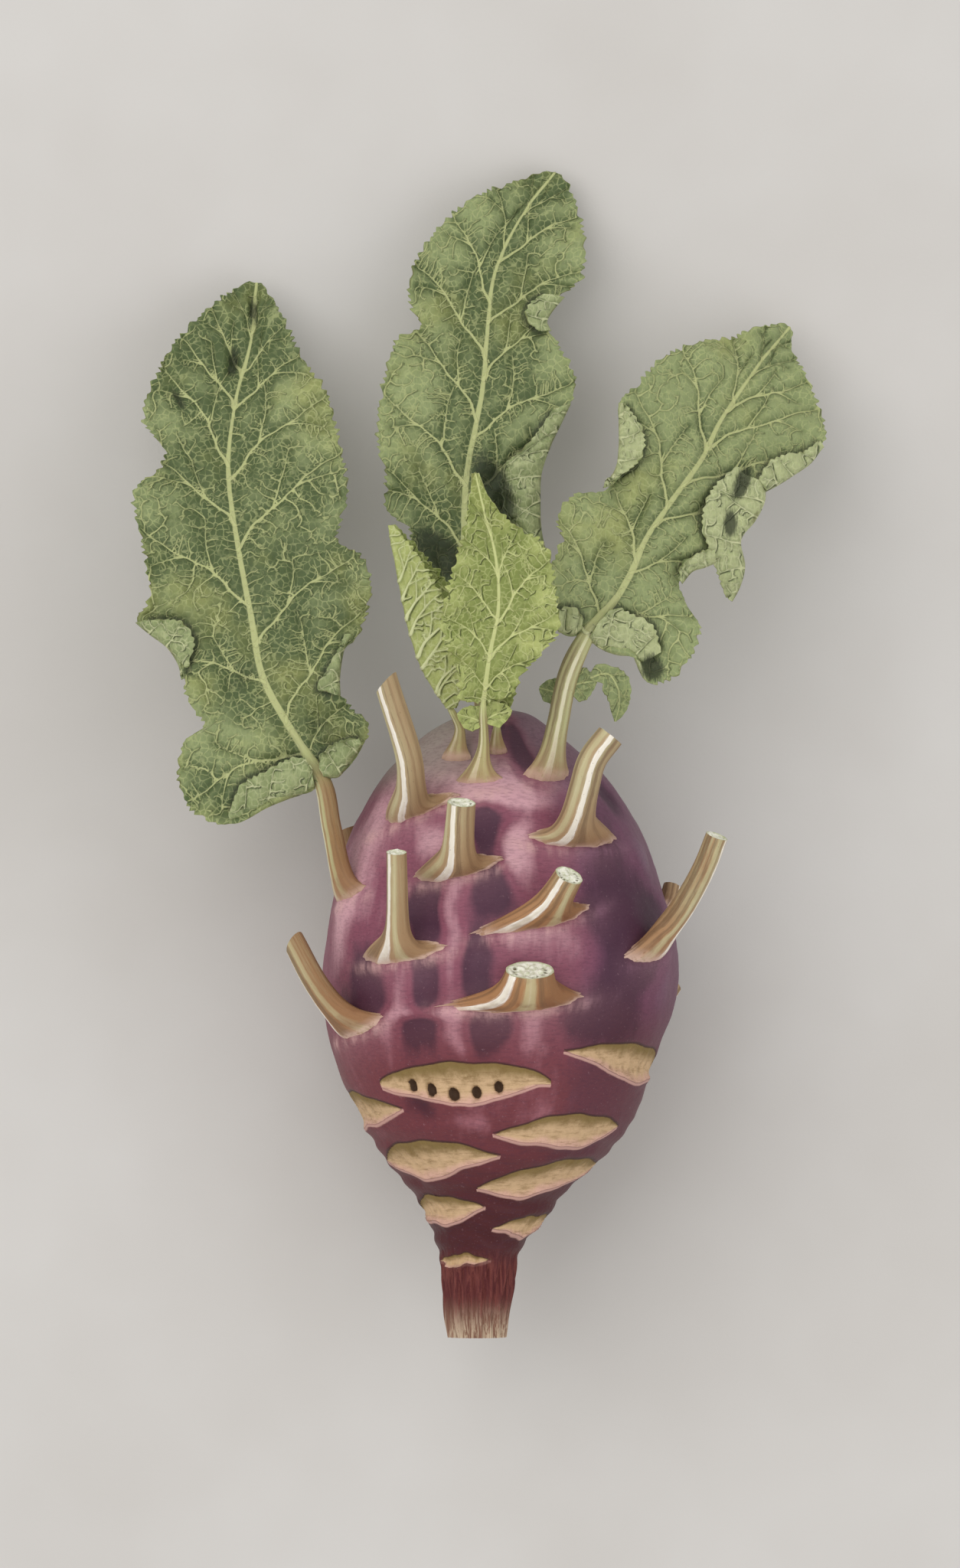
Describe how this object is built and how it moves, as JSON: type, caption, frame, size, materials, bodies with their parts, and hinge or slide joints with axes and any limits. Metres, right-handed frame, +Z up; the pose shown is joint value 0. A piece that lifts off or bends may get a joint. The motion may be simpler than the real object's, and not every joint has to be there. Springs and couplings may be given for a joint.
{
  "type": "kohlrabi",
  "caption": "Purple kohlrabi lying on its side: a swollen stem with leaf scars and a root stump, cut leaf stalks with spread feet, and toothed, curling leaves at the crown.",
  "frame": {"origin": "centre of the small flat spot on the underside of the swollen stem, at the level of the table it lies on", "axes": "+Y along the plant from the root stump to the crown and leaves; +Z up from the table; +X to the right seen from above with the leaves away from the viewer"},
  "size_m": [0.1807, 0.3034, 0.1016],
  "materials": {
    "skin": "satin, waxy purple skin with pinkish streaks; olive-tan leaf scars; buff fibres at the root stump",
    "cut_stalk": "matt, ribbed tan-brown with cream and yellow-green ridges; pale cut ends",
    "leaf": "matt, dull green with pale veins, paler underneath",
    "young_leaf": "matt, yellow-green, puckered"
  },
  "bodies": {
    "root": {"swollen_stem": "skin", "cut_stalk_01": "cut_stalk", "cut_stalk_02": "cut_stalk", "cut_stalk_03": "cut_stalk", "cut_stalk_04": "cut_stalk", "cut_stalk_05": "cut_stalk", "cut_stalk_06": "cut_stalk", "cut_stalk_07": "cut_stalk", "cut_stalk_08": "cut_stalk", "cut_stalk_09": "cut_stalk", "cut_stalk_10": "cut_stalk", "cut_stalk_11": "cut_stalk", "cut_stalk_12": "cut_stalk", "cut_stalk_13": "cut_stalk", "cut_stalk_14": "cut_stalk", "cut_stalk_15": "cut_stalk", "left_leaf": "leaf", "middle_leaf": "leaf", "right_leaf": "leaf", "young_leaf": "young_leaf", "bud_leaf": "young_leaf", "folded_leaf": "young_leaf"}
  },
  "joints": []
}
